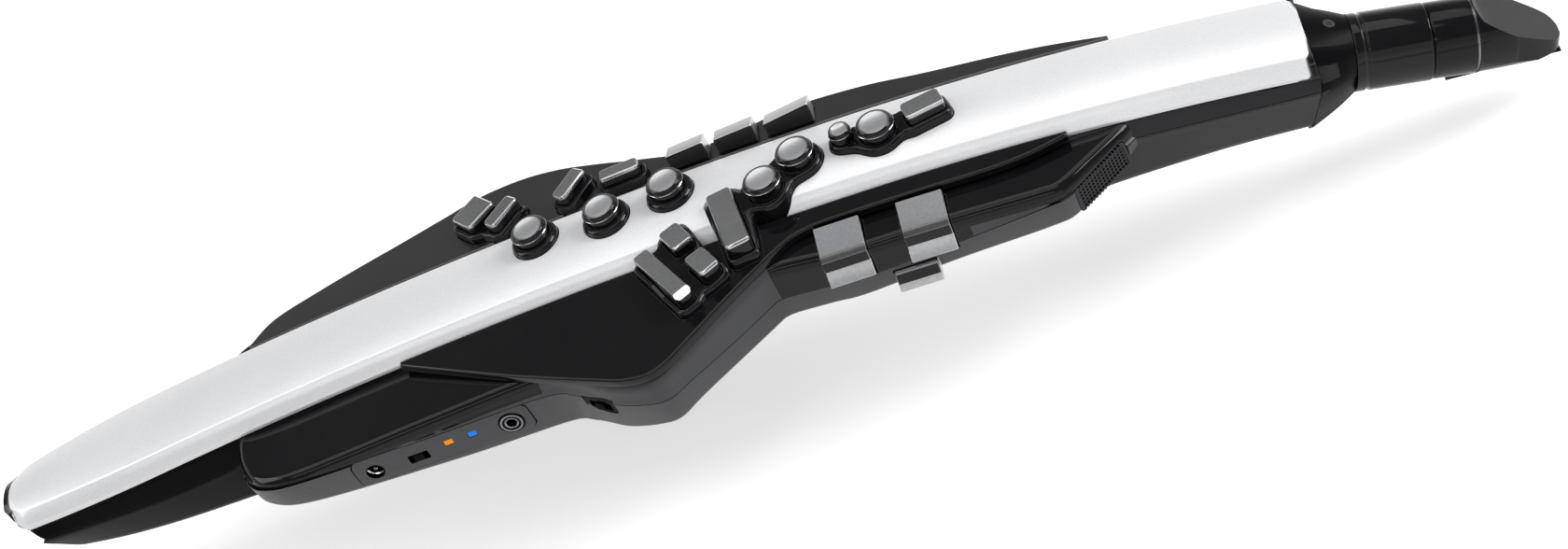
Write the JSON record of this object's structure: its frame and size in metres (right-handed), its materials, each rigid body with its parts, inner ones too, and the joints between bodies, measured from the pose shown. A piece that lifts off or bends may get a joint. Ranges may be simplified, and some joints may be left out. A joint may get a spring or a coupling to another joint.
{
  "type": "digital wind controller",
  "caption": "Arched hand-held wind controller with saxophone-style keys on both flanks, a tilted mouthpiece, thumb hook, strap ring and a port panel.",
  "frame": {"origin": "centre of the bounding box in X and Y, at its lowest height (the thumb hook)", "axes": "+X from the bell end to the mouthpiece tip, +Y from the port flank to the palm-key flank, +Z from the back to the key face"},
  "size_m": [0.5706, 0.1238, 0.0901],
  "materials": {
    "silver_panel": "satin silver paint",
    "gloss_case": "high gloss black",
    "matt_case": "fine spark texture, dark grey",
    "key_cap": "satin with a polished edge",
    "chrome": "mirror polish",
    "rubber": "matt",
    "resin": "polished moulded resin",
    "board": "glass-fibre laminate with solder mask",
    "cell": "shrink sleeve over a steel can",
    "display_glass": "smoked display window",
    "amber_lens": "diffusing lens",
    "blue_lens": "diffusing lens"
  },
  "bodies": {
    "case": {"upper_case": "gloss_case", "lower_case": "matt_case", "front_panel": "silver_panel", "near_key_plate": "gloss_case", "far_key_plate": "gloss_case", "neck_collar": "matt_case", "mouthpiece_tube": "gloss_case", "port_panel": "matt_case", "power_inlet": "matt_case", "phones_jack": "matt_case", "power_lamp": "amber_lens", "wireless_lamp": "blue_lens", "speaker_grille": "matt_case", "speaker": "matt_case", "thumb_hook": "matt_case", "strap_ring": "chrome", "thumb_rest": "rubber", "display_window": "display_glass", "battery_holder": "matt_case", "main_board": "board", "breath_sensor": "matt_case", "air_tube": "rubber", "cell_1_1": "cell", "cell_1_2": "cell", "cell_2_1": "cell", "cell_2_2": "cell", "cell_3_1": "cell", "cell_3_2": "cell"},
    "right_index_key": {"right_index_key": "key_cap"},
    "right_middle_key": {"right_middle_key": "key_cap"},
    "right_ring_key": {"right_ring_key": "key_cap"},
    "left_ring_key": {"left_ring_key": "key_cap"},
    "left_middle_key": {"left_middle_key": "key_cap"},
    "left_bis_key": {"left_bis_key": "key_cap"},
    "left_index_key": {"left_index_key": "key_cap"},
    "low_c_sharp_bar_key": {"low_c_sharp_bar_key": "key_cap"},
    "low_b_pad_key": {"low_b_pad_key": "key_cap"},
    "low_b_flat_pad_key": {"low_b_flat_pad_key": "key_cap"},
    "g_sharp_bar_key": {"g_sharp_bar_key": "key_cap"},
    "low_c_pad_key": {"low_c_pad_key": "key_cap"},
    "e_flat_pad_key": {"e_flat_pad_key": "key_cap"},
    "side_b_flat_key": {"side_b_flat_key": "key_cap"},
    "side_c_key": {"side_c_key": "key_cap"},
    "front_f_lever_key": {"front_f_lever_key": "key_cap"},
    "palm_e_flat_key": {"palm_e_flat_key": "chrome"},
    "palm_f_key": {"palm_f_key": "chrome"},
    "palm_d_key": {"palm_d_key": "chrome"},
    "left_side_b_flat_key": {"left_side_b_flat_key": "chrome"},
    "left_side_c_key": {"left_side_c_key": "chrome"},
    "left_side_e_key": {"left_side_e_key": "chrome"},
    "octave_down_key": {"octave_down_key": "key_cap"},
    "octave_up_key": {"octave_up_key": "key_cap"},
    "menu_minus_button": {"menu_minus_button": "gloss_case"},
    "menu_plus_button": {"menu_plus_button": "gloss_case"},
    "power_slide": {"power_slide": "gloss_case"},
    "control_slide": {"control_slide": "gloss_case"},
    "mouthpiece": {"mouthpiece": "resin"},
    "reed": {"reed": "resin"},
    "battery_cover": {"battery_cover": "matt_case"},
    "thumb_pad": {"thumb_pad": "rubber"}
  },
  "joints": [
    {"name": "mouthpiece_slide", "type": "slide", "parent": "case", "child": "mouthpiece", "axis": [0.9659, 0, -0.2588], "range_m": [0, 0.03]},
    {"name": "reed_flex", "type": "hinge", "parent": "mouthpiece", "child": "reed", "pos_m": [0.24517, 0.00782, 0.02201], "axis": [0, -1, 0], "range_deg": [0, 1.2], "stiffness_Nm_per_rad": 0.5, "springref_deg": -1.15},
    {"name": "battery_cover_slide", "type": "slide", "parent": "case", "child": "battery_cover", "axis": [0, 0, -1], "range_m": [0, 0.02]},
    {"name": "thumb_pad_tilt", "type": "hinge", "parent": "case", "child": "thumb_pad", "pos_m": [-0.02125, 0.00782, 0.03077], "axis": [0, 1, 0], "range_deg": [-5, 5], "stiffness_Nm_per_rad": 0.2},
    {"name": "power_slide_slide", "type": "slide", "parent": "case", "child": "power_slide", "axis": [1, 0, 0], "range_m": [-0.0017, 0.0017]},
    {"name": "control_slide_slide", "type": "slide", "parent": "case", "child": "control_slide", "axis": [0.809, -0.5878, 0], "range_m": [-0.0026, 0.0026]},
    {"name": "octave_down_key_slide", "type": "slide", "parent": "case", "child": "octave_down_key", "axis": [0, 0, 1], "range_m": [0, 0.0015], "stiffness_N_per_m": 300, "springref_m": -0.002},
    {"name": "octave_up_key_slide", "type": "slide", "parent": "case", "child": "octave_up_key", "axis": [0, 0, 1], "range_m": [0, 0.0015], "stiffness_N_per_m": 300, "springref_m": -0.002},
    {"name": "menu_minus_button_slide", "type": "slide", "parent": "case", "child": "menu_minus_button", "axis": [0, 0, 1], "range_m": [0, 0.0008], "stiffness_N_per_m": 400, "springref_m": -0.001},
    {"name": "left_side_b_flat_key_slide", "type": "slide", "parent": "case", "child": "left_side_b_flat_key", "axis": [0, 1, 0], "range_m": [0, 0.0015], "stiffness_N_per_m": 300, "springref_m": -0.002},
    {"name": "left_side_e_key_slide", "type": "slide", "parent": "case", "child": "left_side_e_key", "axis": [0, 1, 0], "range_m": [0, 0.0015], "stiffness_N_per_m": 300, "springref_m": -0.002},
    {"name": "right_index_key_slide", "type": "slide", "parent": "case", "child": "right_index_key", "axis": [0.0222, 0, -0.9998], "range_m": [0, 0.0018], "stiffness_N_per_m": 300, "springref_m": -0.002},
    {"name": "right_middle_key_slide", "type": "slide", "parent": "case", "child": "right_middle_key", "axis": [0.0068, 0, -1], "range_m": [0, 0.0018], "stiffness_N_per_m": 300, "springref_m": -0.002},
    {"name": "right_ring_key_slide", "type": "slide", "parent": "case", "child": "right_ring_key", "axis": [-0.0077, 0, -1], "range_m": [0, 0.0018], "stiffness_N_per_m": 300, "springref_m": -0.002},
    {"name": "left_ring_key_slide", "type": "slide", "parent": "case", "child": "left_ring_key", "axis": [-0.0295, 0, -0.9996], "range_m": [0, 0.0018], "stiffness_N_per_m": 300, "springref_m": -0.002},
    {"name": "left_middle_key_slide", "type": "slide", "parent": "case", "child": "left_middle_key", "axis": [-0.0375, 0, -0.9993], "range_m": [0, 0.0018], "stiffness_N_per_m": 300, "springref_m": -0.002},
    {"name": "left_bis_key_slide", "type": "slide", "parent": "case", "child": "left_bis_key", "axis": [-0.048, 0, -0.9988], "range_m": [0, 0.0018], "stiffness_N_per_m": 300, "springref_m": -0.002},
    {"name": "left_index_key_slide", "type": "slide", "parent": "case", "child": "left_index_key", "axis": [-0.0593, 0, -0.9982], "range_m": [0, 0.0018], "stiffness_N_per_m": 300, "springref_m": -0.002},
    {"name": "low_c_sharp_bar_key_slide", "type": "slide", "parent": "case", "child": "low_c_sharp_bar_key", "axis": [-0.0043, 0, -1], "range_m": [0, 0.0018], "stiffness_N_per_m": 300, "springref_m": -0.002},
    {"name": "low_b_pad_key_slide", "type": "slide", "parent": "case", "child": "low_b_pad_key", "axis": [-0.0082, 0, -1], "range_m": [0, 0.0018], "stiffness_N_per_m": 300, "springref_m": -0.002},
    {"name": "low_b_flat_pad_key_slide", "type": "slide", "parent": "case", "child": "low_b_flat_pad_key", "axis": [-0.0135, 0, -0.9999], "range_m": [0, 0.0018], "stiffness_N_per_m": 300, "springref_m": -0.002},
    {"name": "g_sharp_bar_key_slide", "type": "slide", "parent": "case", "child": "g_sharp_bar_key", "axis": [-0.0205, 0, -0.9998], "range_m": [0, 0.0018], "stiffness_N_per_m": 300, "springref_m": -0.002},
    {"name": "low_c_pad_key_slide", "type": "slide", "parent": "case", "child": "low_c_pad_key", "axis": [0.0354, 0, -0.9994], "range_m": [0, 0.0018], "stiffness_N_per_m": 300, "springref_m": -0.002},
    {"name": "e_flat_pad_key_slide", "type": "slide", "parent": "case", "child": "e_flat_pad_key", "axis": [0.0292, 0, -0.9996], "range_m": [0, 0.0018], "stiffness_N_per_m": 300, "springref_m": -0.002},
    {"name": "side_b_flat_key_slide", "type": "slide", "parent": "case", "child": "side_b_flat_key", "axis": [0.0141, 0, -0.9999], "range_m": [0, 0.0018], "stiffness_N_per_m": 300, "springref_m": -0.002},
    {"name": "side_c_key_slide", "type": "slide", "parent": "case", "child": "side_c_key", "axis": [0.0032, 0, -1], "range_m": [0, 0.0018], "stiffness_N_per_m": 300, "springref_m": -0.002},
    {"name": "front_f_lever_key_slide", "type": "slide", "parent": "case", "child": "front_f_lever_key", "axis": [-0.0768, 0, -0.997], "range_m": [0, 0.0018], "stiffness_N_per_m": 300, "springref_m": -0.002},
    {"name": "palm_e_flat_key_slide", "type": "slide", "parent": "case", "child": "palm_e_flat_key", "axis": [-0.0122, 0, -0.9999], "range_m": [0, 0.0018], "stiffness_N_per_m": 300, "springref_m": -0.002},
    {"name": "palm_f_key_slide", "type": "slide", "parent": "case", "child": "palm_f_key", "axis": [-0.0237, 0, -0.9997], "range_m": [0, 0.0018], "stiffness_N_per_m": 300, "springref_m": -0.002},
    {"name": "palm_d_key_slide", "type": "slide", "parent": "case", "child": "palm_d_key", "axis": [-0.0362, 0, -0.9993], "range_m": [0, 0.0018], "stiffness_N_per_m": 300, "springref_m": -0.002},
    {"name": "left_side_c_key_slide", "type": "slide", "parent": "case", "child": "left_side_c_key", "axis": [0, 1, 0], "range_m": [0, 0.0015], "stiffness_N_per_m": 300, "springref_m": -0.002},
    {"name": "menu_plus_button_slide", "type": "slide", "parent": "case", "child": "menu_plus_button", "axis": [0, 0, 1], "range_m": [0, 0.0008], "stiffness_N_per_m": 400, "springref_m": -0.001}
  ]
}
